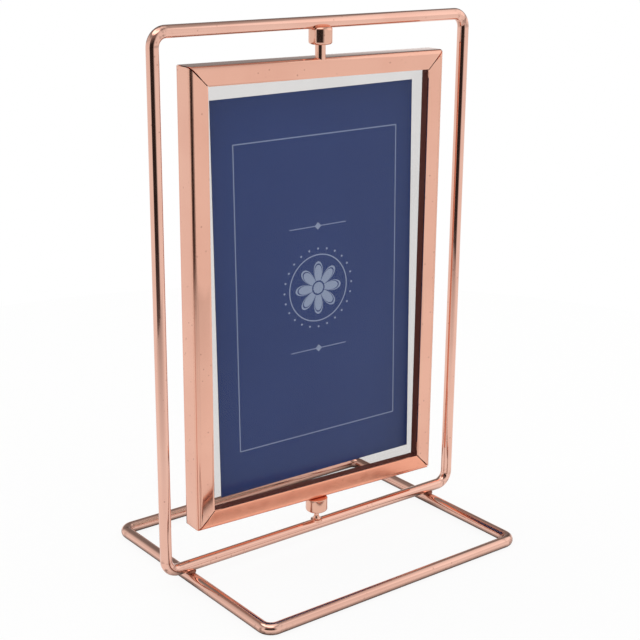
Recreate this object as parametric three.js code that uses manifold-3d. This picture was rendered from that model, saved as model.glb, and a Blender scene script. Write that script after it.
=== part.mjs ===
// A picture frame whose glazed panel spins inside a standing loop of bent wire.
// Millimetres, +Z up. The origin is on the table, under the axis that the panel spins on.
// The front of the stand faces -Y.

import * as THREE from 'three';
import { mergeVertices } from 'three/addons/utils/BufferGeometryUtils.js';
import Module from 'manifold-3d';

const wasm = await Module();
wasm.setup();

// Card, and the clear strip of glass that shows round it
const cardWidth = 90.2;
const cardHeight = 152.4;
const cardThickness = 0.3;
const clearStrip = 3.8;

// How the loose card has settled between the panes
const cardTilt = 1; // degrees
const cardRight = 1.4;
const cardDrop = 1.25;

// Panes
const paneThickness = 1.6;
const paneEdgeBreak = 0.15;

// Panel rails, a hollow section with a groove for the panes behind its front chamber
const faceWidth = 7.05;
const frontRecess = 4.4;
const railWall = 0.8;
const rearLipWidth = 3.5;
const frontEdgeRadius = 1.8;
const rearEdgeRadius = 0.8;
const windowEdgeRadius = 0.35;
const chamberChamfer = 0.4;
const mitreGap = 0.3;

// Black strip that lines the window in front of the glass, let into the rails
const stripThickness = 0.6;

// Corner keys pushed into the rails' front chambers, with notches that grip
const keyLegLength = 20;
const keyTipChamfer = 1.2;
const keyNotches = 3;
const keyNotchDepth = 0.4;

// How the panel hangs in the stand
const panelTurn = -3.2; // degrees from square to the stand, as it was left
const panelRight = 0.5; // its middle stands this far to the right of its pins
const topGap = 10.35;
const bottomGap = 9.45;
const sideGap = 12.45;

// Wire stand
const wireDiameter = 4.5;
const uprightBendRadius = 5.2;
const baseBendRadius = 4;
const baseInset = 10.55; // the base's side wires stand this far inside the upright's
const baseDepth = 101;
const weldGap = 0.3;
const weldReach = 2.9;
const weldRise = 1.7;

// Pivots
const collarDiameter = 8.8;
const collarHeight = 5.6;
const collarEdgeRadius = 1;
const saddleDepth = 0.8; // how far the top collar's rim and the bottom pin's foot reach round the wire
const boreDepth = 4.2;
const topPinDiameter = 3.9;
const topPinReach = 2.6; // length inside the bore
const bottomPinDiameter = 2;
const bottomPinFootDiameter = 4.6;
const bottomPinFootHeight = 1.8;
const pinTipRadius = 0.5;
const spigotDiameter = 1.8; // what passes through the rails into their front chambers

// Clearances
const seatGap = 0.3; // between pieces that touch, and round what is pushed in
const runningGap = 0.12; // between a pin and its bore
const bearingGap = 0.2; // between the bottom pin's tip and the end of its bore

// Facets
const wireSides = 16;
const bendSteps = 4;
const turnedSides = 32;
const edgeSteps = 3;
const samePlace = 1e-4; // corners nearer than this are one corner

// Sizes that follow from the above
const wireRadius = wireDiameter / 2;
const windowWidth = cardWidth + 2 * clearStrip;
const windowHeight = cardHeight + 2 * clearStrip;
const panelWidth = windowWidth + 2 * faceWidth;
const panelHeight = windowHeight + 2 * faceWidth;
const grooveWidth = 2 * paneThickness + cardThickness + 4 * seatGap;
const railDepth = frontRecess + grooveWidth + railWall;
const uprightWidth = panelWidth + 2 * sideGap + wireDiameter;
const uprightHeight = panelHeight + topGap + bottomGap + wireDiameter;
const baseWidth = uprightWidth - 2 * baseInset;
const baseWireZ = wireRadius;
const bottomWireZ = baseWireZ + wireDiameter + weldGap;
const topWireZ = bottomWireZ + uprightHeight;
const panelBottomZ = bottomWireZ + wireRadius + bottomGap;
const panelTopZ = panelBottomZ + panelHeight;
const panelMiddleZ = (panelBottomZ + panelTopZ) / 2;
const panelFrontY = -frontRecess / 2; // the axis runs through the middle of the front chambers
const grooveFrontY = panelFrontY + frontRecess;
const stripRebate = stripThickness + seatGap;
const chamberInner = faceWidth - stripRebate - railWall;

// Finishes
const wireRoughness = 0.12;
const turnedRoughness = 0.15;
const railRoughness = 0.16;
const weldRoughness = 0.35;
const roseGold = (roughness) =>
  new THREE.MeshStandardMaterial({ color: 0xdca189, metalness: 1, roughness });
const glass = () =>
  new THREE.MeshStandardMaterial({
    color: 0xf2f6f5,
    metalness: 0,
    roughness: 0.03,
    transparent: true,
    opacity: 0.2,
  });
const print = () => new THREE.MeshStandardMaterial({ color: 0x3f496c, metalness: 0, roughness: 0.6 });
const blackPlastic = () =>
  new THREE.MeshStandardMaterial({ color: 0x1c1c1e, metalness: 0, roughness: 0.55 });

// A geometry's shared corners are merged so that it can be joined and cut as a solid.
function solid(geometry) {
  const bare = geometry.clone();
  bare.deleteAttribute('normal');
  bare.deleteAttribute('uv');
  const merged = mergeVertices(bare, samePlace);
  const mesh = new wasm.Mesh({
    numProp: 3,
    vertProperties: new Float32Array(merged.attributes.position.array),
    triVerts: new Uint32Array(merged.index.array),
  });
  return new wasm.Manifold(mesh);
}

// A cut solid comes back as a geometry with flat faces.
function geometryOf(manifold) {
  const mesh = manifold.getMesh();
  const geometry = new THREE.BufferGeometry();
  geometry.setAttribute('position', new THREE.BufferAttribute(mesh.vertProperties, 3));
  geometry.setIndex(new THREE.BufferAttribute(mesh.triVerts, 1));
  return geometry;
}

function cut(geometry, ...tools) {
  const body = tools.reduce((left, tool) => left.subtract(solid(tool)), solid(geometry));
  return geometryOf(body);
}

function piece(name, geometry, material) {
  geometry.computeVertexNormals();
  const mesh = new THREE.Mesh(geometry, material);
  mesh.name = name;
  return mesh;
}

// A polygon's corners lie outside the circle that its flats touch.
function aroundFlats(radius, sides) {
  return radius / Math.cos(Math.PI / sides);
}

// The centre line of a bent loop: a rectangle with round corners, about the middle.
function loopCentreLine(width, height, bendRadius) {
  const right = width / 2;
  const top = height / 2;
  const line = new THREE.Path();
  line.moveTo(right - bendRadius, -top);
  line.absarc(right - bendRadius, bendRadius - top, bendRadius, -Math.PI / 2, 0);
  line.absarc(right - bendRadius, top - bendRadius, bendRadius, 0, Math.PI / 2);
  line.absarc(bendRadius - right, top - bendRadius, bendRadius, Math.PI / 2, Math.PI);
  line.absarc(bendRadius - right, bendRadius - top, bendRadius, Math.PI, Math.PI * 1.5);
  const points = line.getPoints(bendSteps);
  return points.filter((point, i) => i === 0 || point.distanceTo(points[i - 1]) > samePlace);
}

// Round wire bent along a closed centre line in the XY plane. The section's rings lie in the
// planes that halve each bend step, so every straight stretch keeps the wire's full thickness.
// The wire has a flat facet under it and over it, and on its inner and outer sides.
function bentLoop(centreLine, radius) {
  const corner = aroundFlats(radius, wireSides);
  const count = centreLine.length;
  const positions = [];
  const triangles = [];
  centreLine.forEach((point, i) => {
    const before = point.clone().sub(centreLine[(i + count - 1) % count]).normalize();
    const after = centreLine[(i + 1) % count].clone().sub(point).normalize();
    const along = before.clone().add(after).normalize();
    const stretch = 1 / along.dot(after);
    const outward = new THREE.Vector2(along.y, -along.x);
    for (let side = 0; side < wireSides; side++) {
      const angle = ((side + 0.5) / wireSides) * 2 * Math.PI;
      const out = corner * Math.cos(angle) * stretch;
      positions.push(point.x + outward.x * out, point.y + outward.y * out, corner * Math.sin(angle));
      const next = (side + 1) % wireSides;
      const here = i * wireSides;
      const there = ((i + 1) % count) * wireSides;
      triangles.push(here + side, there + side, there + next);
      triangles.push(here + side, there + next, here + next);
    }
  });
  const geometry = new THREE.BufferGeometry();
  geometry.setAttribute('position', new THREE.Float32BufferAttribute(positions, 3));
  geometry.setIndex(triangles);
  return geometry;
}

const baseLine = loopCentreLine(baseWidth, baseDepth, baseBendRadius);
const uprightLine = loopCentreLine(uprightWidth, uprightHeight, uprightBendRadius);

function baseLoop(radius) {
  return bentLoop(baseLine, radius).translate(0, 0, baseWireZ);
}

function uprightLoop(radius) {
  const standing = bentLoop(uprightLine, radius).rotateX(Math.PI / 2);
  return standing.translate(0, 0, (bottomWireZ + topWireZ) / 2);
}

// The bead that runs into the corners between two crossed wires. Both wires are cut out of it.
function weldBead(side) {
  const bead = new THREE.SphereGeometry(1, turnedSides, turnedSides / 2);
  bead.rotateX(Math.PI / 2);
  bead.scale(weldReach, weldReach, weldRise);
  bead.translate((side * baseWidth) / 2, 0, baseWireZ + wireRadius + weldGap / 2);
  return cut(bead, baseLoop(wireRadius + seatGap), uprightLoop(wireRadius + seatGap));
}

// A turned piece on the Z axis, from a profile of [radius, height] corners.
function turned(profile) {
  const points = profile.map(([radius, height]) => new THREE.Vector2(radius, height));
  return new THREE.LatheGeometry(points, turnedSides).rotateX(Math.PI / 2);
}

// A quarter round of a turned profile, from one angle to another about a centre.
function quarter(centreRadius, centreHeight, radius, from, to) {
  return Array.from({ length: edgeSteps + 1 }, (unused, i) => {
    const angle = from + ((to - from) * i) / edgeSteps;
    return [centreRadius + radius * Math.cos(angle), centreHeight + radius * Math.sin(angle)];
  });
}

// Pivot collar, mouth down, with its mouth at height 0. What stands on top closes the profile.
function collarProfile(pinDiameter, top) {
  const outer = collarDiameter / 2;
  const bore = aroundFlats(pinDiameter / 2 + runningGap, turnedSides);
  return [
    [0, boreDepth],
    [bore, boreDepth],
    [bore, 0],
    ...quarter(outer - collarEdgeRadius, collarEdgeRadius, collarEdgeRadius, -Math.PI / 2, 0),
    ...top,
  ];
}

// The top collar's rim is cut to a saddle that fits the wire.
function topCollar() {
  const rim = collarHeight + saddleDepth;
  const blank = turned(collarProfile(topPinDiameter, [[collarDiameter / 2, rim], [0, rim]]));
  blank.translate(0, 0, topWireZ - wireRadius - collarHeight);
  return cut(blank, uprightLoop(wireRadius + seatGap));
}

// The bottom collar has a spigot that passes through the rail's wall and is peened over flush.
function bottomCollar() {
  const spigot = spigotDiameter / 2;
  const face = collarHeight - seatGap;
  const top = [
    [collarDiameter / 2, face],
    [spigot, face],
    [spigot, collarHeight + railWall],
    [0, collarHeight + railWall],
  ];
  return turned(collarProfile(bottomPinDiameter, top)).translate(0, 0, panelBottomZ - collarHeight);
}

// The top pin stands on the rail with its spigot through the rail's wall.
function topPin() {
  const shank = topPinDiameter / 2;
  const spigot = spigotDiameter / 2;
  const tip = topGap - collarHeight + topPinReach;
  return turned([
    [0, -railWall],
    [spigot, -railWall],
    [spigot, seatGap],
    [shank, seatGap],
    ...quarter(shank - pinTipRadius, tip - pinTipRadius, pinTipRadius, 0, Math.PI / 2),
    [0, tip],
  ]).translate(0, 0, panelTopZ);
}

// The bottom pin flares into a foot that is cut to the wire it stands on.
function bottomPin() {
  const shank = bottomPinDiameter / 2;
  const foot = bottomPinFootDiameter / 2;
  const flare = foot - shank;
  const wireTop = bottomWireZ + wireRadius;
  const tip = panelBottomZ - collarHeight + boreDepth - bearingGap - wireTop;
  const blank = turned([
    [0, -saddleDepth],
    [foot, -saddleDepth],
    ...quarter(foot, bottomPinFootHeight, flare, Math.PI * 1.5, Math.PI).map(([radius, height]) => [
      radius,
      bottomPinFootHeight + ((height - bottomPinFootHeight) * bottomPinFootHeight) / flare,
    ]),
    ...quarter(shank - pinTipRadius, tip - pinTipRadius, pinTipRadius, 0, Math.PI / 2),
    [0, tip],
  ]);
  blank.translate(0, 0, wireTop);
  return cut(blank, uprightLoop(wireRadius + seatGap));
}

// The rail's section: x runs inwards from the panel's outer edge, y backwards from its front face.
// A hollow front chamber stands proud of the panes, with a rebate on its window side for the black
// strip, and a groove behind it holds the panes.
function railSection() {
  const front = frontEdgeRadius;
  const rear = rearEdgeRadius;
  const edge = windowEdgeRadius;
  const back = railDepth;
  const section = new THREE.Shape();
  section.moveTo(front, 0);
  section.lineTo(faceWidth - edge, 0);
  section.absarc(faceWidth - edge, edge, edge, -Math.PI / 2, 0);
  section.lineTo(faceWidth, railWall);
  section.lineTo(faceWidth - stripRebate, railWall);
  section.lineTo(faceWidth - stripRebate, frontRecess);
  section.lineTo(railWall, frontRecess);
  section.lineTo(railWall, back - railWall);
  section.lineTo(rearLipWidth, back - railWall);
  section.lineTo(rearLipWidth, back);
  section.lineTo(rear, back);
  section.absarc(rear, back - rear, rear, Math.PI / 2, Math.PI);
  section.lineTo(0, front);
  section.absarc(front, front, front, Math.PI, Math.PI * 1.5);
  const chamber = new THREE.Path();
  chamber.moveTo(railWall + chamberChamfer, railWall);
  chamber.lineTo(railWall, railWall + chamberChamfer);
  chamber.lineTo(railWall, frontRecess - railWall);
  chamber.lineTo(chamberInner, frontRecess - railWall);
  chamber.lineTo(chamberInner, railWall);
  chamber.closePath();
  section.holes.push(chamber);
  return section;
}

// A rail along X, outer edge down, both ends mitred: the further in a corner of the section
// lies, the more its end is drawn back. Half the mitre's gap comes off each rail.
function mitredRail(length) {
  const rail = new THREE.ExtrudeGeometry(railSection(), {
    depth: 1,
    bevelEnabled: false,
    curveSegments: edgeSteps,
  });
  const corner = rail.attributes.position;
  for (let i = 0; i < corner.count; i++) {
    const inwards = corner.getX(i);
    const half = length / 2 - inwards - mitreGap / Math.SQRT2;
    const end = corner.getZ(i) > 0 ? -1 : 1;
    corner.setXYZ(i, end * half, panelFrontY + corner.getY(i), inwards);
  }
  return rail;
}

// The rails stand round the panel's middle, each turned so that its outer edge faces out.
function placedRail(length, turn, reach) {
  const rail = mitredRail(length).translate(0, 0, -reach);
  return rail.rotateY(turn).translate(panelRight, 0, panelMiddleZ);
}

function spigotHole(height) {
  const radius = aroundFlats(spigotDiameter / 2 + seatGap, turnedSides);
  const hole = new THREE.CylinderGeometry(radius, radius, 2 * railWall + 2 * seatGap, turnedSides);
  return hole.rotateX(Math.PI / 2).translate(0, 0, height);
}

// An angle key for the bottom left corner: two notched legs that fill the rails' front chambers.
function cornerKey() {
  const outer = railWall + seatGap;
  const inner = chamberInner - seatGap;
  const end = outer + keyLegLength;
  const pitch = (end - keyTipChamfer - inner) / (keyNotches + 1);
  const notches = Array.from({ length: keyNotches }, (unused, i) => end - keyTipChamfer - (i + 1) * pitch);
  const leg = [
    [end, outer + keyTipChamfer],
    [end, inner - keyTipChamfer],
    [end - keyTipChamfer, inner],
    ...notches.flatMap((at) => [
      [at + keyNotchDepth, inner],
      [at, inner - keyNotchDepth],
      [at - keyNotchDepth, inner],
    ]),
  ];
  const outline = new THREE.Shape();
  outline.moveTo(outer, outer);
  outline.lineTo(end - keyTipChamfer, outer);
  leg.forEach(([along, across]) => outline.lineTo(along, across));
  outline.lineTo(inner, inner);
  [...leg].reverse().forEach(([along, across]) => outline.lineTo(across, along));
  outline.lineTo(outer, end - keyTipChamfer);
  outline.closePath();
  const depth = frontRecess - 2 * railWall - 2 * seatGap;
  const key = new THREE.ExtrudeGeometry(outline, { depth, bevelEnabled: false });
  key.rotateX(Math.PI / 2);
  return key.translate(0, panelFrontY + railWall + seatGap + depth, 0);
}

// The key is the same on both legs, so a quarter turn takes it from corner to corner.
function placedKey(quarterTurns, right, up) {
  const key = cornerKey().rotateY((quarterTurns * Math.PI) / 2);
  const across = panelRight + (right * panelWidth) / 2;
  return key.translate(across, 0, panelMiddleZ + (up * panelHeight) / 2);
}

// The corners of an upright rectangle about the middle.
function rectangle(width, height) {
  const right = width / 2;
  const top = height / 2;
  return [
    new THREE.Vector2(-right, -top),
    new THREE.Vector2(right, -top),
    new THREE.Vector2(right, top),
    new THREE.Vector2(-right, top),
  ];
}

// One moulded ring, flush with the window's edge, from the rails' front wall to the glass.
function glazingStrip() {
  const outer = rectangle(windowWidth + 2 * stripThickness, windowHeight + 2 * stripThickness);
  const outline = new THREE.Shape(outer);
  outline.holes.push(new THREE.Path(rectangle(windowWidth, windowHeight)));
  const depth = frontRecess - railWall - seatGap;
  const strip = new THREE.ExtrudeGeometry(outline, { depth, bevelEnabled: false });
  return strip.rotateX(Math.PI / 2).translate(panelRight, grooveFrontY, panelMiddleZ);
}

// A flat sheet with its edges just broken, its front face at the given depth.
function sheet(width, height, thickness, frontY, edgeBreak) {
  const outline = new THREE.Shape(rectangle(width - 2 * edgeBreak, height - 2 * edgeBreak));
  const geometry = new THREE.ExtrudeGeometry(outline, {
    depth: thickness - 2 * edgeBreak,
    bevelEnabled: edgeBreak > 0,
    bevelThickness: edgeBreak,
    bevelSize: edgeBreak,
    bevelSegments: 1,
  });
  geometry.translate(0, 0, edgeBreak);
  return geometry.rotateX(Math.PI / 2).translate(0, frontY + thickness, 0);
}

function pane(frontY) {
  const width = panelWidth - 2 * (railWall + seatGap);
  const height = panelHeight - 2 * (railWall + seatGap);
  const geometry = sheet(width, height, paneThickness, frontY, paneEdgeBreak);
  return geometry.translate(panelRight, 0, panelMiddleZ);
}

function photoCard(frontY) {
  const geometry = sheet(cardWidth, cardHeight, cardThickness, frontY, 0);
  geometry.rotateY(-THREE.MathUtils.degToRad(cardTilt));
  return geometry.translate(panelRight + cardRight, 0, panelMiddleZ - cardDrop);
}

// The stand: both loops, their welds, and the halves of the pivots that don't turn
const stand = new THREE.Group();
stand.add(piece('base_loop', baseLoop(wireRadius), roseGold(wireRoughness)));
stand.add(piece('upright_loop', uprightLoop(wireRadius), roseGold(wireRoughness)));
stand.add(piece('weld_left', weldBead(-1), roseGold(weldRoughness)));
stand.add(piece('weld_right', weldBead(1), roseGold(weldRoughness)));
stand.add(piece('top_collar', topCollar(), roseGold(turnedRoughness)));
stand.add(piece('bottom_pin', bottomPin(), roseGold(turnedRoughness)));

// The panel, which spins
const panel = new THREE.Group();
const topBar = placedRail(panelWidth, Math.PI, panelHeight / 2);
const topRail = cut(topBar, spigotHole(panelTopZ));
const bottomBar = placedRail(panelWidth, 0, panelHeight / 2);
const bottomRail = cut(bottomBar, spigotHole(panelBottomZ));
const leftRail = placedRail(panelHeight, Math.PI / 2, panelWidth / 2);
const rightRail = placedRail(panelHeight, -Math.PI / 2, panelWidth / 2);
panel.add(piece('top_rail', topRail, roseGold(railRoughness)));
panel.add(piece('bottom_rail', bottomRail, roseGold(railRoughness)));
panel.add(piece('left_rail', leftRail, roseGold(railRoughness)));
panel.add(piece('right_rail', rightRail, roseGold(railRoughness)));
panel.add(piece('corner_key_tl', placedKey(1, -1, 1), blackPlastic()));
panel.add(piece('corner_key_tr', placedKey(2, 1, 1), blackPlastic()));
panel.add(piece('corner_key_bl', placedKey(0, -1, -1), blackPlastic()));
panel.add(piece('corner_key_br', placedKey(3, 1, -1), blackPlastic()));
panel.add(piece('glazing_strip', glazingStrip(), blackPlastic()));
const frontPaneY = grooveFrontY + seatGap;
const cardY = frontPaneY + paneThickness + seatGap;
const rearPaneY = cardY + cardThickness + seatGap;
panel.add(piece('front_pane', pane(frontPaneY), glass()));
panel.add(piece('photo_card', photoCard(cardY), print()));
panel.add(piece('rear_pane', pane(rearPaneY), glass()));
panel.add(piece('top_pin', topPin(), roseGold(turnedRoughness)));
panel.add(piece('bottom_collar', bottomCollar(), roseGold(turnedRoughness)));
panel.rotation.z = THREE.MathUtils.degToRad(panelTurn);

const frame = new THREE.Group();
frame.add(stand, panel);

export default frame;
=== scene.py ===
from math import cos, hypot, pi, radians, sin

import bpy
from mathutils import Matrix, Vector


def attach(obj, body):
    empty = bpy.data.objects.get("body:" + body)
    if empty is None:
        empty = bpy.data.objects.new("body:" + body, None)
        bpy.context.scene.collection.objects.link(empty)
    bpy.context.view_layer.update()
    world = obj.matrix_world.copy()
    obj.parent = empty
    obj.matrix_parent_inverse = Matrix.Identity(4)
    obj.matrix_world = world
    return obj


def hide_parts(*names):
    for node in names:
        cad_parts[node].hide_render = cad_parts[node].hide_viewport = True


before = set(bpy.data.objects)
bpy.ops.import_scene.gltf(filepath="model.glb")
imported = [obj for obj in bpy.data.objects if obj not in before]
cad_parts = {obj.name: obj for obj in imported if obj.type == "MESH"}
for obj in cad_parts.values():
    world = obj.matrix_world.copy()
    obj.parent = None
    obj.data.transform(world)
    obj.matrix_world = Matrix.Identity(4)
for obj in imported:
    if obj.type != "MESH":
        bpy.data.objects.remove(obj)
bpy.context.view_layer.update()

# The camera stands to the left of the frame and a little above it, and looks down at the glass.
# A long lens keeps the uprights nearly parallel, as in the photograph.
camera_place = (-0.3110, -0.4003, 0.2502)
camera_turn = (radians(72.765), radians(-0.487), radians(-37.776))
film_width = 36
lens_length = 77.6

bpy.ops.object.camera_add(location=camera_place, rotation=camera_turn)
camera = bpy.context.object
camera.data.sensor_width = film_width
camera.data.lens = lens_length
bpy.context.scene.camera = camera
bpy.context.scene.view_settings.view_transform = "Standard"


# The base is one closed loop of steel wire that lies on the table. It is bent at four corners,
# butt welded, polished and plated in rose gold.
wire_radius = 0.00225
wire_facets = 40
base_bend = 0.0040
base_width = 0.1202
base_depth = 0.1010
bend_steps = 14
near = 1e-6
cloud_fineness = 45
cloud_span = (0.32, 0.62)
pit_fineness = 330
pit_rim = (0.06, 0.14)
pit_depth = 0.4
pit_colour = (0.20, 0.08, 0.05)
pit_patch_fineness = 60
pit_patch_span = (0.42, 0.5)
ripple_fineness = 0.6
ripple_height = 0.0002
bend_speck_reach = (0.0035, 0.0075)
bend_speck_depth = 0.7
bend_speck_fineness = 480
bend_speck_span = (0.5, 0.62)
bend_speck_colour = (0.20, 0.11, 0.085)


def bent_wire(name, width, depth, bend_radius):
    """A flat loop round the origin: a ring is drawn along each side and spun round each bend."""
    side_x = width / 2 - bend_radius
    side_y = depth / 2 - bend_radius
    bpy.ops.object.select_all(action="DESELECT")
    bpy.ops.mesh.primitive_circle_add(
        vertices=wire_facets,
        radius=wire_radius,
        location=(-side_x, -depth / 2, 0),
        rotation=(0, pi / 2, 0),
    )
    wire = bpy.context.object
    wire.name = name
    bpy.ops.object.transform_apply(location=True, rotation=True, scale=True)
    bpy.ops.object.mode_set(mode="EDIT")
    bpy.ops.mesh.select_all(action="SELECT")
    for run, bend in (
        ((2 * side_x, 0, 0), (side_x, -side_y, 0)),
        ((0, 2 * side_y, 0), (side_x, side_y, 0)),
        ((-2 * side_x, 0, 0), (-side_x, side_y, 0)),
        ((0, -2 * side_y, 0), (-side_x, -side_y, 0)),
    ):
        bpy.ops.mesh.extrude_region_move(TRANSFORM_OT_translate={"value": run})
        bpy.ops.mesh.spin(steps=bend_steps, angle=-pi / 2, center=bend, axis=(0, 0, 1))
    bpy.ops.mesh.select_all(action="SELECT")
    bpy.ops.mesh.remove_doubles(threshold=near)
    bpy.ops.mesh.normals_make_consistent(inside=False)
    bpy.ops.object.mode_set(mode="OBJECT")
    bpy.ops.object.shade_smooth()
    return wire


def placed(piece, matrix):
    """Moves a finished mesh to its place, and leaves its object at the origin."""
    bpy.ops.object.select_all(action="DESELECT")
    bpy.context.view_layer.objects.active = piece
    piece.select_set(True)
    piece.matrix_world = matrix
    bpy.ops.object.transform_apply(location=True, rotation=True, scale=True)


def noise(tree, where, scale, detail):
    """Even clouds of a given fineness, from 0 to 1."""
    clouds = tree.nodes.new("ShaderNodeTexNoise")
    clouds.inputs["Scale"].default_value = scale
    clouds.inputs["Detail"].default_value = detail
    tree.links.new(where, clouds.inputs["Vector"])
    return clouds.outputs["Fac"]


def spread(tree, value, low, high, start=0.3, end=0.7):
    """Takes a value between two others."""
    span = tree.nodes.new("ShaderNodeMapRange")
    span.inputs["From Min"].default_value = start
    span.inputs["From Max"].default_value = end
    span.inputs["To Min"].default_value = low
    span.inputs["To Max"].default_value = high
    tree.links.new(value, span.inputs["Value"])
    return span.outputs["Result"]


def tones(tree, value, stops):
    """A colour for each of several values."""
    ramp = tree.nodes.new("ShaderNodeValToRGB")
    while len(ramp.color_ramp.elements) < len(stops):
        ramp.color_ramp.elements.new(0.5)
    for element, (place, colour) in zip(ramp.color_ramp.elements, stops):
        element.position = place
        element.color = (*colour, 1)
    tree.links.new(value, ramp.inputs["Fac"])
    return ramp.outputs["Color"]


def sums(tree, operation, *values):
    """Arithmetic on numbers and on what other nodes give."""
    result = tree.nodes.new("ShaderNodeMath")
    result.operation = operation
    for socket, value in zip(result.inputs, values):
        if isinstance(value, bpy.types.NodeSocket):
            tree.links.new(value, socket)
        else:
            socket.default_value = value
    return result.outputs["Value"]


def mixed(tree, share, first, second):
    """Goes from one colour to another as a share goes from 0 to 1. The other may be a plain colour."""
    mix = tree.nodes.new("ShaderNodeMix")
    mix.data_type = "RGBA"
    tree.links.new(share, mix.inputs["Factor"])
    tree.links.new(first, mix.inputs["A"])
    if isinstance(second, bpy.types.NodeSocket):
        tree.links.new(second, mix.inputs["B"])
    else:
        mix.inputs["B"].default_value = (*second, 1)
    return mix.outputs["Result"]


def rose_gold(name, pale, deep, polish, dull, grain, ripple):
    """Polished plating, cloudy in tone and gloss, with pits and the ripple that polishing leaves."""
    material = bpy.data.materials.new(name)
    material.use_nodes = True
    tree = material.node_tree
    shader = tree.nodes["Principled BSDF"]
    shader.inputs["Metallic"].default_value = 1
    place = tree.nodes.new("ShaderNodeTexCoord").outputs["Object"]
    along = tree.nodes.new("ShaderNodeMapping")
    along.inputs["Scale"].default_value = grain
    tree.links.new(place, along.inputs["Vector"])
    clouds = noise(tree, place, cloud_fineness, 3)
    tone = tones(tree, clouds, ((cloud_span[0], deep), (cloud_span[1], pale)))
    cells = tree.nodes.new("ShaderNodeTexVoronoi")
    cells.inputs["Scale"].default_value = pit_fineness
    tree.links.new(place, cells.inputs["Vector"])
    pits = spread(tree, cells.outputs["Distance"], pit_depth, 0, *pit_rim)
    patches = spread(tree, noise(tree, place, pit_patch_fineness, 2), 0, 1, *pit_patch_span)
    pitted = mixed(tree, sums(tree, "MULTIPLY", pits, patches), tone, pit_colour)
    tree.links.new(pitted, shader.inputs["Base Color"])
    gloss = spread(tree, noise(tree, along.outputs["Vector"], 1, 4), polish, dull)
    tree.links.new(gloss, shader.inputs["Roughness"])
    bump = tree.nodes.new("ShaderNodeBump")
    bump.inputs["Strength"].default_value = ripple
    bump.inputs["Distance"].default_value = ripple_height
    ripples = noise(tree, along.outputs["Vector"], ripple_fineness, 2)
    tree.links.new(ripples, bump.inputs["Height"])
    tree.links.new(bump.outputs["Normal"], shader.inputs["Normal"])
    return material


def specked_bends(material, middle, corner):
    """Darkens the plating with dark speckles round a loop's four bends."""
    tree = material.node_tree
    shader = tree.nodes["Principled BSDF"]
    place = tree.nodes.new("ShaderNodeTexCoord").outputs["Object"]
    from_middle = tree.nodes.new("ShaderNodeVectorMath")
    from_middle.operation = "SUBTRACT"
    from_middle.inputs[1].default_value = middle
    tree.links.new(place, from_middle.inputs[0])
    folded = tree.nodes.new("ShaderNodeVectorMath")
    folded.operation = "ABSOLUTE"
    tree.links.new(from_middle.outputs["Vector"], folded.inputs[0])
    from_corner = tree.nodes.new("ShaderNodeVectorMath")
    from_corner.operation = "DISTANCE"
    from_corner.inputs[1].default_value = corner
    tree.links.new(folded.outputs["Vector"], from_corner.inputs[0])
    near_bend = spread(tree, from_corner.outputs["Value"], bend_speck_depth, 0, *bend_speck_reach)
    specks = spread(tree, noise(tree, place, bend_speck_fineness, 4), 0, 1, *bend_speck_span)
    plating = shader.inputs["Base Color"].links[0].from_socket
    specked_plating = mixed(tree, sums(tree, "MULTIPLY", near_bend, specks), plating, bend_speck_colour)
    tree.links.new(specked_plating, shader.inputs["Base Color"])


wire_finish = dict(
    pale=(0.82, 0.495, 0.395),
    deep=(0.78, 0.45, 0.355),
    polish=0.05,
    dull=0.10,
    grain=(240, 240, 240),
    ripple=0.04,
)
base_plating = rose_gold("rose_gold_base_wire", **wire_finish)
specked_bends(base_plating, (0, 0, wire_radius), (base_width / 2, base_depth / 2, 0))

base_wire = bent_wire("base_wire", base_width, base_depth, base_bend)
placed(base_wire, Matrix.Translation((0, 0, wire_radius)))
base_wire.data.materials.append(base_plating)
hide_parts("base_loop")
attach(base_wire, "stand")


# The upright is a second loop of the same wire. It stands on edge across the base's side wires
# and carries the panel's two pivots at the middle of its top and bottom runs.
upright_bend = 0.0052
upright_width = 0.1413
upright_height = 0.1984
bottom_wire_z = 0.00705
top_wire_z = bottom_wire_z + upright_height

upright_wire = bent_wire("upright_wire", upright_width, upright_height, upright_bend)
upright_middle = Matrix.Translation((0, 0, (bottom_wire_z + top_wire_z) / 2))
placed(upright_wire, upright_middle @ Matrix.Rotation(pi / 2, 4, "X"))
upright_plating = rose_gold("rose_gold_upright_wire", **wire_finish)
specked_bends(upright_plating, upright_middle.translation, (upright_width / 2, 0, upright_height / 2))
upright_wire.data.materials.append(upright_plating)
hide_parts("upright_loop")
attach(upright_wire, "stand")


# Where the upright crosses the base, a small weld runs into the corners between the two wires. It was
# plated over unpolished, so it is uneven; its plating is painted dark, as painted shade in those
# corners.
weld_reach = 0.0022
weld_rise = 0.0012
weld_z = 0.00465
weld_facets = 36
weld_unevenness = 0.00012
weld_seed = 7

# The weld's colour is painted shade: much darker than the wire, for the corners between the two wires.
weld_painted_shade_plating = rose_gold(
    "rose_gold_weld_painted_shade",
    pale=(0.30, 0.12, 0.08),
    deep=(0.16, 0.06, 0.045),
    polish=0.35,
    dull=0.5,
    grain=(700, 700, 700),
    ripple=0.5,
)
for side, name, node in ((-1, "weld_bead_left", "weld_left"), (1, "weld_bead_right", "weld_right")):
    bpy.ops.object.select_all(action="DESELECT")
    bpy.ops.mesh.primitive_uv_sphere_add(segments=weld_facets, ring_count=weld_facets // 2, radius=1)
    weld_bead = bpy.context.object
    weld_bead.name = name
    bpy.ops.object.mode_set(mode="EDIT")
    bpy.ops.mesh.select_all(action="SELECT")
    bpy.ops.transform.resize(value=(weld_reach, weld_reach, weld_rise))
    bpy.ops.transform.vertex_random(
        offset=weld_unevenness, uniform=0.2, normal=1, seed=weld_seed + side
    )
    bpy.ops.mesh.vertices_smooth(factor=0.5, repeat=2)
    bpy.ops.object.mode_set(mode="OBJECT")
    bpy.ops.object.shade_smooth()
    placed(weld_bead, Matrix.Translation((side * base_width / 2, 0, weld_z)))
    weld_bead.data.materials.append(weld_painted_shade_plating)
    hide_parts(node)
    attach(weld_bead, "stand")


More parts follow.
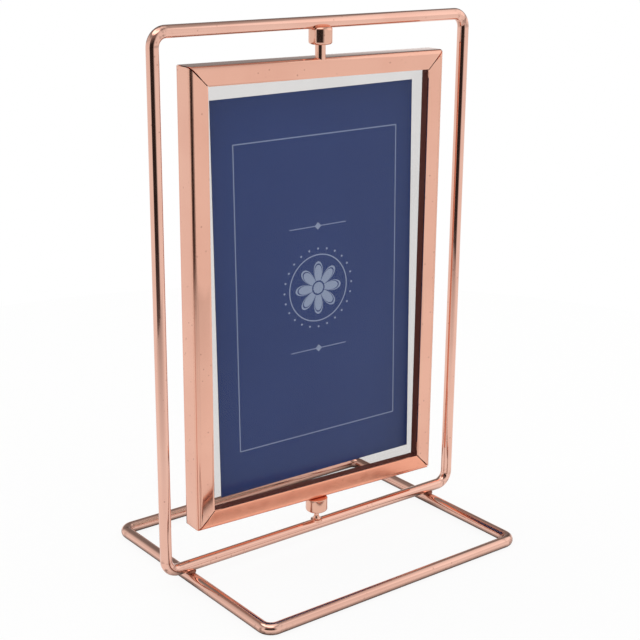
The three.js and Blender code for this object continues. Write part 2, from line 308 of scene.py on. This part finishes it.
# The pivot collars are short turned cups with a blind bore. One is brazed under the top wire, mouth
# down; the other is riveted under the panel's bottom rail.
collar_radius = 0.0044
collar_height = 0.0056
collar_saddle = 0.0008
rim_edge = 0.0010
top_collar_shoulder = 0.0012
bottom_collar_shoulder = 0.0003
bore_depth = 0.0042
top_bore = 0.00207
bottom_bore = 0.00112
panel_bottom_z = 0.01875
panel_top_z = 0.19285
panel_angle = radians(-3.2)
panel_turn = Matrix.Rotation(panel_angle, 4, "Z")
collar_facets = 72
rim_steps = 6
turned_crease = radians(40)

turned_plating = rose_gold(
    "rose_gold_turned",
    pale=(0.80, 0.475, 0.365),
    deep=(0.75, 0.42, 0.31),
    polish=0.08,
    dull=0.14,
    grain=(60, 60, 900),
    ripple=0.05,
)


def pick_faces(mesh, chosen):
    """Selects the faces that a test of their middle and normal picks, in edit mode."""
    bpy.ops.object.mode_set(mode="OBJECT")
    for vertex in mesh.vertices:
        vertex.select = False
    for edge in mesh.edges:
        edge.select = False
    for face in mesh.polygons:
        face.select = chosen(face.center, face.normal)
    bpy.ops.object.mode_set(mode="EDIT")
    bpy.ops.mesh.select_mode(type="FACE")


def pick_edges(mesh, chosen):
    """Selects the edges whose two ends a test picks, in edit mode."""
    bpy.ops.object.mode_set(mode="OBJECT")
    for vertex in mesh.vertices:
        vertex.select = False
    for face in mesh.polygons:
        face.select = False
    for edge in mesh.edges:
        edge.select = chosen(*(mesh.vertices[i].co for i in edge.vertices))
    bpy.ops.object.mode_set(mode="EDIT")
    bpy.ops.mesh.select_mode(type="EDGE")


def collar(name, height, bore, shoulder):
    """A cup with its mouth at height 0, rounded at the rims. The mouth is pushed up into a bore."""
    bpy.ops.object.select_all(action="DESELECT")
    bpy.ops.mesh.primitive_cylinder_add(
        vertices=collar_facets, radius=collar_radius, depth=height, location=(0, 0, height / 2)
    )
    cup = bpy.context.object
    cup.name = name
    bpy.ops.object.transform_apply(location=True, rotation=True, scale=True)
    for rim_z, rounding in ((0, rim_edge), (height, shoulder)):
        pick_edges(cup.data, lambda a, b: abs(a.z - rim_z) < near and abs(b.z - rim_z) < near)
        bpy.ops.mesh.bevel(offset=rounding, segments=rim_steps, affect="EDGES")
    pick_faces(cup.data, lambda middle, normal: normal.z < -0.99 and middle.z < 10 * near)
    bpy.ops.mesh.inset(thickness=collar_radius - rim_edge - bore, depth=0)
    bpy.ops.mesh.extrude_region_move(TRANSFORM_OT_translate={"value": (0, 0, bore_depth)})
    bpy.ops.object.mode_set(mode="OBJECT")
    bpy.ops.object.shade_smooth_by_angle(angle=turned_crease)
    return cup


collar_above = collar("collar_above", collar_height + collar_saddle, top_bore, top_collar_shoulder)
placed(collar_above, Matrix.Translation((0, 0, top_wire_z - wire_radius - collar_height)))
collar_above.data.materials.append(turned_plating)
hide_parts("top_collar")
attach(collar_above, "stand")

collar_below = collar("collar_below", collar_height, bottom_bore, bottom_collar_shoulder)
placed(collar_below, panel_turn @ Matrix.Translation((0, 0, panel_bottom_z - collar_height)))
collar_below.data.materials.append(turned_plating)
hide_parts("bottom_collar")
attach(collar_below, "panel")


# The pivot pins are turned steel. The lower one flares into a foot brazed on the bottom wire, and the
# upper one is riveted through the panel's top rail; each turns in a collar's bore.
pin_facets = 48


def turned_pin(name, steps):
    """A pin drawn up from a disc through a list of (height, radius) steps, closed at the top."""
    bpy.ops.object.select_all(action="DESELECT")
    height, radius = steps[0]
    bpy.ops.mesh.primitive_circle_add(
        vertices=pin_facets, radius=radius, fill_type="NGON", location=(0, 0, height)
    )
    pin = bpy.context.object
    pin.name = name
    bpy.ops.object.transform_apply(location=True, rotation=True, scale=True)
    bpy.ops.object.mode_set(mode="EDIT")
    bpy.ops.mesh.select_all(action="SELECT")
    for next_height, next_radius in steps[1:]:
        bpy.ops.mesh.extrude_region_move(
            TRANSFORM_OT_translate={"value": (0, 0, next_height - height)}
        )
        bpy.ops.transform.resize(value=(next_radius / radius, next_radius / radius, 1))
        height, radius = next_height, next_radius
    bpy.ops.mesh.select_all(action="SELECT")
    bpy.ops.mesh.normals_make_consistent(inside=False)
    bpy.ops.object.mode_set(mode="OBJECT")
    bpy.ops.object.shade_smooth_by_angle(angle=turned_crease)
    return pin


def quarter_steps(height, radius, rise, reach, count=6):
    """The steps of a hollow quarter round that flares out by a reach over a rise."""
    turns = [pi / 2 * i / count for i in range(count + 1)]
    return [(height + rise * (1 - cos(t)), radius + reach * (1 - sin(t))) for t in turns]


def round_tip(height, radius, edge, count=5):
    """The steps of a rounded end."""
    turns = [pi / 2 * i / count for i in range(count + 1)]
    return [(height - edge + edge * sin(t), radius - edge + edge * cos(t)) for t in turns]


tip_edge = 0.0005
bottom_pin_radius = 0.0010
bottom_pin_foot = 0.0023
bottom_pin_flare = 0.0022
bottom_pin_root = 0.0085
bottom_pin_tip = 0.01715
bottom_pin_reach = bottom_pin_foot - bottom_pin_radius
wire_top_z = bottom_wire_z + wire_radius

pin_below = turned_pin(
    "pin_below",
    [(bottom_pin_root, bottom_pin_foot)]
    + quarter_steps(wire_top_z, bottom_pin_radius, bottom_pin_flare, bottom_pin_reach)
    + round_tip(bottom_pin_tip, bottom_pin_radius, tip_edge),
)
pin_below.data.materials.append(turned_plating)
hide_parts("bottom_pin")
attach(pin_below, "stand")

top_pin_radius = 0.00195
top_pin_depth = 0.0016
top_pin_root = panel_top_z - top_pin_depth
top_pin_tip = 0.2002

pin_above = turned_pin(
    "pin_above",
    [(top_pin_root, top_pin_radius)] + round_tip(top_pin_tip, top_pin_radius, tip_edge),
)
placed(pin_above, panel_turn)
pin_above.data.materials.append(turned_plating)
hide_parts("top_pin")
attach(pin_above, "panel")


# Four rails frame the panel. Each is drawn from thin metal: a hollow bar in front, then a wall that
# carries the panes and a lip that holds them in. They are cut to 45 degrees, polished and plated. The
# bottom one is painted redder and less bright, and is rougher: a painted reflection of the copper wires
# in front of it.
panel_width = 0.1119
panel_height = 0.1741
panel_right = 0.0005
panel_middle_z = (panel_bottom_z + panel_top_z) / 2
face_width = 0.00705
front_recess = 0.0044
rail_depth = 0.0099
rail_wall = 0.0008
rear_lip = 0.0035
strip_rebate = 0.0009
front_edge = 0.0018
rear_edge = 0.0008
window_edge = 0.00035
lip_edge = 0.0002
chamber_chamfer = 0.0004
mitre_gap = 0.0003
mitre_edge = 0.00035
spare_end = 0.004
rail_crease = radians(30)
panel_front_y = -front_recess / 2
panel_place = panel_turn @ Matrix.Translation((panel_right, panel_front_y, panel_middle_z))

rail_plating = rose_gold(
    "rose_gold_rail",
    pale=(0.81, 0.452, 0.342),
    deep=(0.78, 0.422, 0.317),
    polish=0.07,
    dull=0.11,
    grain=(300, 300, 300),
    ripple=0.03,
)
# The bottom rail's redder, darker colour is a painted reflection of the copper wires in front of it.
low_rail_painted_reflection = rose_gold(
    "rose_gold_low_rail_painted_reflection",
    pale=(0.89, 0.395, 0.262),
    deep=(0.86, 0.362, 0.24),
    polish=0.20,
    dull=0.27,
    grain=(300, 300, 300),
    ripple=0.03,
)


def bar(name, length, low, high):
    """A bar along X between two (depth, height) corners of its section."""
    bpy.ops.object.select_all(action="DESELECT")
    bpy.ops.mesh.primitive_cube_add(
        size=1, location=(0, (low[0] + high[0]) / 2, (low[1] + high[1]) / 2)
    )
    piece = bpy.context.object
    piece.name = name
    piece.scale = (length, high[0] - low[0], high[1] - low[1])
    bpy.ops.object.transform_apply(location=True, rotation=True, scale=True)
    return piece


def round_edges(mesh, size, *places, steps):
    """Rounds the edges that run along a bar at some (depth, height) places."""
    pick_edges(
        mesh,
        lambda a, b: abs(a.x - b.x) > spare_end
        and any(abs(a.y - y) < near and abs(a.z - z) < near for y, z in places),
    )
    bpy.ops.mesh.bevel(offset=size, segments=steps, affect="EDGES")


def draw_back(mesh, below, depth, step):
    """Extrudes the back faces that lie below a height and at a depth."""
    bpy.ops.mesh.select_all(action="SELECT")
    bpy.ops.mesh.bisect(plane_co=(0, 0, below), plane_no=(0, 0, 1))
    pick_faces(
        mesh,
        lambda middle, normal: normal.y > 0.9 and middle.z < below and abs(middle.y - depth) < near,
    )
    bpy.ops.mesh.extrude_region_move(TRANSFORM_OT_translate={"value": (0, step, 0)})


def mitred_rail(name, length):
    """A rail along X, with its outer edge at height 0, its front at depth 0 and mitres at its ends."""
    long = length + 2 * spare_end
    lip_front = rail_depth - rail_wall
    chamber_inner = face_width - strip_rebate - rail_wall

    chamber = bar("chamber", long, (rail_wall, rail_wall), (front_recess - rail_wall, chamber_inner))
    round_edges(chamber.data, chamber_chamfer, (rail_wall, rail_wall), steps=1)
    bpy.ops.object.mode_set(mode="OBJECT")

    rail = bar(name, long - spare_end, (0, 0), (rail_wall, face_width))
    mesh = rail.data
    bpy.ops.object.mode_set(mode="EDIT")
    draw_back(mesh, face_width - strip_rebate, rail_wall, front_recess - rail_wall)
    draw_back(mesh, rail_wall, front_recess, lip_front - front_recess)
    bpy.ops.mesh.extrude_region_move(TRANSFORM_OT_translate={"value": (0, rail_wall, 0)})
    pick_faces(mesh, lambda middle, normal: normal.z > 0.9 and middle.y > lip_front)
    bpy.ops.mesh.extrude_region_move(TRANSFORM_OT_translate={"value": (0, 0, rear_lip - rail_wall)})
    bpy.ops.mesh.select_all(action="SELECT")
    bpy.ops.mesh.dissolve_limited(angle_limit=radians(1))
    round_edges(mesh, front_edge, (0, 0), steps=9)
    round_edges(mesh, rear_edge, (rail_depth, 0), steps=5)
    round_edges(mesh, window_edge, (0, face_width), steps=4)
    round_edges(mesh, lip_edge, (lip_front, rear_lip), (rail_depth, rear_lip), steps=3)
    bpy.ops.object.mode_set(mode="OBJECT")
    hollow = rail.modifiers.new("hollow", "BOOLEAN")
    hollow.operation = "DIFFERENCE"
    hollow.object = chamber
    bpy.ops.object.modifier_apply(modifier="hollow")
    bpy.data.objects.remove(chamber)

    bpy.ops.object.mode_set(mode="EDIT")
    for end in (-1, 1):
        mitre = Vector((end, 0, 1)).normalized()
        bpy.ops.mesh.select_all(action="SELECT")
        bpy.ops.mesh.bisect(
            plane_co=Vector((end * length / 2, 0, 0)) - mitre * mitre_gap / 2,
            plane_no=mitre,
            use_fill=True,
            clear_outer=True,
        )

    def on_rim(point):
        """Tells whether a point is on the outer rim of a mitre, which is eased."""
        if abs(length / 2 - abs(point.x) - point.z - mitre_gap / 2**0.5) > near:
            return False
        if point.y < near:
            return point.z < face_width - window_edge + near
        if point.y < front_edge and point.z < front_edge:
            return hypot(front_edge - point.y, front_edge - point.z) > front_edge - 10 * near
        return point.z < near

    pick_edges(mesh, lambda a, b: on_rim(a) and on_rim(b))
    bpy.ops.mesh.bevel(offset=mitre_edge, segments=2, affect="EDGES")
    bpy.ops.object.mode_set(mode="OBJECT")
    bpy.ops.object.shade_smooth_by_angle(angle=rail_crease)
    return rail


for name, node, length, reach, turn in (
    ("rail_bottom", "bottom_rail", panel_width, panel_height / 2, 0),
    ("rail_top", "top_rail", panel_width, panel_height / 2, pi),
    ("rail_left", "left_rail", panel_height, panel_width / 2, pi / 2),
    ("rail_right", "right_rail", panel_height, panel_width / 2, -pi / 2),
):
    rail = mitred_rail(name, length)
    placed(rail, panel_place @ Matrix.Rotation(turn, 4, "Y") @ Matrix.Translation((0, 0, -reach)))
    rail.data.materials.append(low_rail_painted_reflection if node == "bottom_rail" else rail_plating)
    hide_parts(node)
    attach(rail, "panel")


# A moulded angle key is pushed into the hollow bars at each corner and holds two rails together.
# The keys are out of sight once the panel is closed.
plastic_shine = 0.2
plastic_grain = 1500
plastic_roughness = (0.6, 0.75)
plastic_grain_height = 0.0001


def moulded(name, deep, pale):
    """Moulded plastic with a fine even grain and little gloss."""
    material = bpy.data.materials.new(name)
    material.use_nodes = True
    tree = material.node_tree
    shader = tree.nodes["Principled BSDF"]
    shader.inputs["Specular IOR Level"].default_value = plastic_shine
    place = tree.nodes.new("ShaderNodeTexCoord").outputs["Object"]
    grain = noise(tree, place, plastic_grain, 3)
    tree.links.new(tones(tree, grain, ((0.3, deep), (0.7, pale))), shader.inputs["Base Color"])
    tree.links.new(spread(tree, grain, *plastic_roughness), shader.inputs["Roughness"])
    bump = tree.nodes.new("ShaderNodeBump")
    bump.inputs["Strength"].default_value = 0.15
    bump.inputs["Distance"].default_value = plastic_grain_height
    tree.links.new(grain, bump.inputs["Height"])
    tree.links.new(bump.outputs["Normal"], shader.inputs["Normal"])
    return material


key_plastic = moulded("black_key_plastic", (0.010, 0.007, 0.006), (0.018, 0.013, 0.011))
for corner in ("tl", "tr", "bl", "br"):
    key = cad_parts["corner_key_" + corner]
    key.data.materials.clear()
    key.data.materials.append(key_plastic)


# A moulded brown-black strip lines the window between the rails' front wall and the glass. It is let
# into the rails, and it keeps the glass from rattling.
strip_plastic = moulded("brown_black_strip_plastic", (0.098, 0.026, 0.019), (0.135, 0.037, 0.027))
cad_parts["glazing_strip"].data.materials.clear()
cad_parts["glazing_strip"].data.materials.append(strip_plastic)


# Two panes of clear float glass slide into the rails' grooves with the card between them.
# Handling has left them a trace less than clean.
glass_index = 1.45
glass_shine = (0.15, 0.15, 0.15)
glass_clean = (0.85, 0.842, 0.838)
glass_smeared = (0.83, 0.822, 0.818)
glass_passing = (0.94, 0.95, 0.945)
smear_fineness = 35
smear_haze = 0.03

glass = bpy.data.materials.new("clear_float_glass")
glass.use_nodes = True
glass_tree = glass.node_tree
glass_shader = glass_tree.nodes["Principled BSDF"]
glass_shader.inputs["Transmission Weight"].default_value = 1
glass_shader.inputs["IOR"].default_value = glass_index
glass_shader.inputs["Specular Tint"].default_value = (*glass_shine, 1)
glass_place = glass_tree.nodes.new("ShaderNodeTexCoord").outputs["Object"]
glass_smears = noise(glass_tree, glass_place, smear_fineness, 3)
glass_tone = tones(glass_tree, glass_smears, ((0.3, glass_smeared), (0.7, glass_clean)))
glass_tree.links.new(glass_tone, glass_shader.inputs["Base Color"])
glass_haze = spread(glass_tree, glass_smears, 0, smear_haze)
glass_tree.links.new(glass_haze, glass_shader.inputs["Roughness"])
let_through = glass_tree.nodes.new("ShaderNodeBsdfTransparent")
let_through.inputs["Color"].default_value = (*glass_passing, 1)
glass_ray = glass_tree.nodes.new("ShaderNodeLightPath").outputs
room_light = sums(glass_tree, "MAXIMUM", glass_ray["Is Shadow Ray"], glass_ray["Is Diffuse Ray"])
glass_mix = glass_tree.nodes.new("ShaderNodeMixShader")
glass_tree.links.new(room_light, glass_mix.inputs["Fac"])
glass_tree.links.new(glass_shader.outputs["BSDF"], glass_mix.inputs[1])
glass_tree.links.new(let_through.outputs["BSDF"], glass_mix.inputs[2])
glass_tree.links.new(glass_mix.outputs["Shader"], glass_tree.nodes["Material Output"].inputs["Surface"])

for pane in ("front_pane", "rear_pane"):
    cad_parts[pane].data.materials.clear()
    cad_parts[pane].data.materials.append(glass)


# The picture is a card printed in navy with a pale line border and a rosette, plain paper behind.
# It lies loose between the panes and has settled a little crooked.
card_right = 0.0014
card_drop = 0.00125
card_recess = 0.0066
card_tilt = radians(1)
card_thickness = 0.3
card_middle = Vector(
    (panel_right + card_right, panel_front_y + card_recess, panel_middle_z - card_drop)
)
navy = (0.0335, 0.0585, 0.1940)
navy_deep = (0.0315, 0.0550, 0.1850)
print_pale = (0.31, 0.37, 0.53)
paper = (0.80, 0.78, 0.73)
border_width = 73.5
border_height = 118.9
border_right = 0.7
border_line = 0.19
rosette_radius = 10.5
petals = 8
petal_notch = 0.42
petal_margin = 1.1
petal_line_width = 0.28
eye_radius = 2.6
eye_line = 0.3
ring_radius = 13.2
ring_line = 0.22
bead_ring = 15.6
bead_count = 24
bead_radius = 0.42
rule_rise = 24.5
rule_length = 26.0
rule_line = 0.16
lozenge = 1.5
print_soft = 0.06
millimetre = 0.001
card_shine = 0.15
card_roughness = (0.42, 0.58)
card_grain_fineness = 2200
card_grain_height = 0.00005
card_cloud_fineness = 30

card = bpy.data.materials.new("navy_print_on_card")
card.use_nodes = True
card_tree = card.node_tree
card_shader = card_tree.nodes["Principled BSDF"]
card_shader.inputs["Specular IOR Level"].default_value = card_shine


def calc(operation, *values):
    """A sum on the card's print, from numbers and from other sums."""
    return sums(card_tree, operation, *values)


def inked(distance):
    """1 where a distance in mm is below 0, with a soft edge as ink has."""
    return spread(card_tree, distance, 1, 0, -print_soft, print_soft)


card_place = card_tree.nodes.new("ShaderNodeTexCoord").outputs["Object"]
card_flat = card_tree.nodes.new("ShaderNodeMapping")
card_flat.vector_type = "TEXTURE"
card_flat.inputs["Location"].default_value = panel_turn @ card_middle
card_flat.inputs["Rotation"].default_value = (0, -card_tilt, panel_angle)
card_flat.inputs["Scale"].default_value = (millimetre, millimetre, millimetre)
card_tree.links.new(card_place, card_flat.inputs["Vector"])
card_axes = card_tree.nodes.new("ShaderNodeSeparateXYZ")
card_tree.links.new(card_flat.outputs["Vector"], card_axes.inputs["Vector"])
across, through, up = (card_axes.outputs[axis] for axis in "XYZ")

middle_x = calc("SUBTRACT", across, border_right)
from_side = calc("SUBTRACT", calc("ABSOLUTE", middle_x), border_width / 2)
from_end = calc("SUBTRACT", calc("ABSOLUTE", up), border_height / 2)
border = calc("SUBTRACT", calc("ABSOLUTE", calc("MAXIMUM", from_side, from_end)), border_line)

radius = calc("SQRT", calc("ADD", calc("POWER", middle_x, 2), calc("POWER", up, 2)))
bearing = calc("ARCTAN2", up, middle_x)
petal_wave = calc("ABSOLUTE", calc("COSINE", calc("MULTIPLY", bearing, petals / 2)))
petal_edge = calc("MULTIPLY", calc("POWER", petal_wave, petal_notch), rosette_radius)
petal = calc("SUBTRACT", radius, petal_edge)
petal_line = calc("SUBTRACT", calc("ABSOLUTE", calc("ADD", petal, petal_margin)), petal_line_width)
petal_body = calc("MAXIMUM", petal, calc("MULTIPLY", petal_line, -1))
eye = calc("SUBTRACT", calc("ABSOLUTE", calc("SUBTRACT", radius, eye_radius)), eye_line)
rosette = calc("MAXIMUM", petal_body, calc("MULTIPLY", eye, -1))
ring = calc("SUBTRACT", calc("ABSOLUTE", calc("SUBTRACT", radius, ring_radius)), ring_line)

bead_turn = calc("PINGPONG", calc("ADD", bearing, pi), pi / bead_count)
bead_along = calc("MULTIPLY", bead_turn, bead_ring)
bead_out = calc("SUBTRACT", radius, bead_ring)
bead_span = calc("SQRT", calc("ADD", calc("POWER", bead_along, 2), calc("POWER", bead_out, 2)))
beads = calc("SUBTRACT", bead_span, bead_radius)

rule_off = calc("ABSOLUTE", calc("SUBTRACT", calc("ABSOLUTE", up), rule_rise))
rule_reach = calc("SUBTRACT", calc("ABSOLUTE", middle_x), rule_length / 2)
rule = calc("MAXIMUM", calc("SUBTRACT", rule_off, rule_line), rule_reach)
diamond = calc("SUBTRACT", calc("ADD", calc("ABSOLUTE", middle_x), rule_off), lozenge)

print_mask = inked(border)
for mark in (rosette, ring, beads, rule, diamond):
    print_mask = calc("MAXIMUM", print_mask, inked(mark))

card_grain = noise(card_tree, card_place, card_grain_fineness, 4)
card_cloud = noise(card_tree, card_place, card_cloud_fineness, 2)
ground = tones(card_tree, card_cloud, ((0.3, navy_deep), (0.7, navy)))
printed = mixed(card_tree, print_mask, ground, print_pale)
behind = spread(card_tree, through, 0, 1, card_thickness * 0.4, card_thickness * 0.6)
sheet = mixed(card_tree, behind, printed, paper)
card_tree.links.new(sheet, card_shader.inputs["Base Color"])
card_tree.links.new(spread(card_tree, card_grain, *card_roughness), card_shader.inputs["Roughness"])
card_bump = card_tree.nodes.new("ShaderNodeBump")
card_bump.inputs["Strength"].default_value = 0.02
card_bump.inputs["Distance"].default_value = card_grain_height
card_tree.links.new(card_grain, card_bump.inputs["Height"])
card_tree.links.new(card_bump.outputs["Normal"], card_shader.inputs["Normal"])

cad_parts["photo_card"].data.materials.clear()
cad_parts["photo_card"].data.materials.append(card)


# The studio is a white room with a round white table top and a soft lamp to the front right. Polished
# metal also mirrors its dim upper back wall, its unlit side with a softbox above, the table's far front
# in half light, and the shadow that the wires cast on the table close to them.
table_radius = 0.38
table_colour = (0.90, 0.90, 0.89)
table_white = 0.9
contact_reach = 0.010
contact_depth = 2.4
contact_samples = 8
unlit_azimuth = -34
table_front = (0.09, 0.36)
table_front_white = 0.46
lamp_width = 0.55
lamp_height = 0.42
lamp_power = 0.22
lamp_place = Vector((0.39, -0.157, 0.39))
lamp_target = Vector((0, 0, 0.1))

bpy.ops.object.select_all(action="DESELECT")
bpy.ops.mesh.primitive_circle_add(vertices=96, radius=table_radius, fill_type="NGON")
table_top = bpy.context.object
table_top.name = "table_top"
table_paint = bpy.data.materials.new("white_table_paint")
table_paint.use_nodes = True
table_tree = table_paint.node_tree
table_shader = table_tree.nodes["Principled BSDF"]
table_shader.inputs["Roughness"].default_value = 0.9
table_shader.inputs["Specular IOR Level"].default_value = 0
table_shader.inputs["Base Color"].default_value = (*table_colour, 1)
table_ray = table_tree.nodes.new("ShaderNodeLightPath").outputs
through_glass = table_ray["Is Transmission Ray"]
in_mirror = table_ray["Is Glossy Ray"]
in_view = sums(table_tree, "MAXIMUM", table_ray["Is Camera Ray"], through_glass)
shown = sums(table_tree, "MAXIMUM", in_view, in_mirror)
mirrored = sums(table_tree, "MAXIMUM", sums(table_tree, "SUBTRACT", in_mirror, through_glass), 0)
contact = table_tree.nodes.new("ShaderNodeAmbientOcclusion")
contact.samples = contact_samples
contact.inputs["Distance"].default_value = contact_reach
contact_light = sums(table_tree, "POWER", contact.outputs["AO"], contact_depth)
table_place = table_tree.nodes.new("ShaderNodeTexCoord").outputs["Object"]
forward = table_tree.nodes.new("ShaderNodeVectorMath")
forward.operation = "DOT_PRODUCT"
forward.inputs[1].default_value = (sin(radians(unlit_azimuth)), -cos(radians(unlit_azimuth)), 0)
table_tree.links.new(table_place, forward.inputs[0])
front_light = spread(table_tree, forward.outputs["Value"], 1, table_front_white, *table_front)
glow_strength = table_tree.nodes.new("ShaderNodeMix")
glow_strength.inputs["A"].default_value = 1
table_tree.links.new(mirrored, glow_strength.inputs["Factor"])
table_tree.links.new(
    sums(table_tree, "MULTIPLY", contact_light, front_light), glow_strength.inputs["B"]
)
table_glow = table_tree.nodes.new("ShaderNodeEmission")
table_tree.links.new(glow_strength.outputs["Result"], table_glow.inputs["Strength"])
table_mix = table_tree.nodes.new("ShaderNodeMixShader")
table_tree.links.new(spread(table_tree, shown, 0, table_white, 0, 1), table_mix.inputs["Fac"])
table_tree.links.new(table_shader.outputs["BSDF"], table_mix.inputs[1])
table_tree.links.new(table_glow.outputs["Emission"], table_mix.inputs[2])
table_tree.links.new(table_mix.outputs["Shader"], table_tree.nodes["Material Output"].inputs["Surface"])
table_top.data.materials.append(table_paint)

bpy.ops.object.light_add(type="AREA", location=lamp_place)
lamp = bpy.context.object
lamp.data.shape = "RECTANGLE"
lamp.data.size = lamp_width
lamp.data.size_y = lamp_height
lamp.data.energy = lamp_power
lamp.rotation_euler = (lamp_target - lamp_place).to_track_quat("-Z", "Y").to_euler()

world = bpy.data.worlds.new("studio")
bpy.context.scene.world = world
world.use_nodes = True
sky = world.node_tree
room = sky.nodes["Background"]
sky_axes = sky.nodes.new("ShaderNodeSeparateXYZ")
sky_place = sky.nodes.new("ShaderNodeTexCoord").outputs["Generated"]
sky.links.new(sky_place, sky_axes.inputs["Vector"])


def facing(azimuth):
    """How far the horizontal part of a direction points to an azimuth, from -1 to 1."""
    level = sky.nodes.new("ShaderNodeVectorMath")
    level.operation = "MULTIPLY"
    level.inputs[1].default_value = (1, 1, 0)
    sky.links.new(sky_place, level.inputs[0])
    unit = sky.nodes.new("ShaderNodeVectorMath")
    unit.operation = "NORMALIZE"
    sky.links.new(level.outputs["Vector"], unit.inputs[0])
    dot = sky.nodes.new("ShaderNodeVectorMath")
    dot.operation = "DOT_PRODUCT"
    dot.inputs[1].default_value = (sin(radians(azimuth)), -cos(radians(azimuth)), 0)
    sky.links.new(unit.outputs["Vector"], dot.inputs[0])
    return dot.outputs["Value"]


def climb(stops, tint=(1, 1, 1)):
    """Light by elevation in degrees."""
    height = spread(sky, sky_axes.outputs["Z"], 0, 1, -1, 1)
    return tones(
        sky, height, [((sin(radians(e)) + 1) / 2, [v * t for t in tint]) for e, v in stops]
    )


def within(azimuth, edge, core):
    """1 up to a core angle from an azimuth, fading to 0 at an edge angle, all in degrees."""
    return spread(sky, facing(azimuth), 0, 1, cos(radians(edge)), cos(radians(core)))


bright_walls = climb(
    (
        (-90, 0.9),
        (-20, 0.97),
        (0, 0.95),
        (20, 0.92),
        (40, 0.85),
        (50, 0.72),
        (58, 0.42),
        (75, 1.2),
    )
)
left_wall = climb(
    (
        (-90, 0.9),
        (-20, 0.97),
        (-4, 0.94),
        (22, 0.82),
        (35, 0.62),
        (43, 0.30),
        (49, 0.35),
        (55, 2.2),
        (70, 2.2),
        (78, 1.2),
    )
)
back_wall = climb(
    (
        (-90, 0.9),
        (-20, 0.97),
        (2, 0.95),
        (7, 0.3),
        (30, 0.22),
        (42, 0.25),
        (62, 0.4),
        (75, 1.2),
    )
)
unlit_side = climb(
    (
        (-90, 0.9),
        (-24, 0.85),
        (-18, 0.10),
        (-13, 0.025),
        (12, 0.025),
        (35, 0.2),
        (48, 0.3),
        (55, 2.2),
        (70, 2.2),
        (78, 1.2),
    ),
    tint=(1.15, 0.97, 0.95),
)
unlit_ahead = within(unlit_azimuth, edge=48, core=38)
unlit_left = within(-124, edge=130, core=108)
unlit_part = sums(sky, "MULTIPLY", unlit_ahead, unlit_left)
walls = mixed(sky, within(-140, edge=75, core=45), bright_walls, left_wall)
walls = mixed(sky, within(150, edge=60, core=35), walls, back_wall)
walls = mixed(sky, unlit_part, walls, unlit_side)

# Only mirror reflections show those walls. The background, glass and soft light have even white.
sky_ray = sky.nodes.new("ShaderNodeLightPath").outputs
white = climb(((-90, 1), (90, 1)))
seen = mixed(sky, sky_ray["Is Glossy Ray"], white, walls)
seen = mixed(sky, sky_ray["Is Transmission Ray"], seen, white)
sky.links.new(seen, room.inputs["Color"])
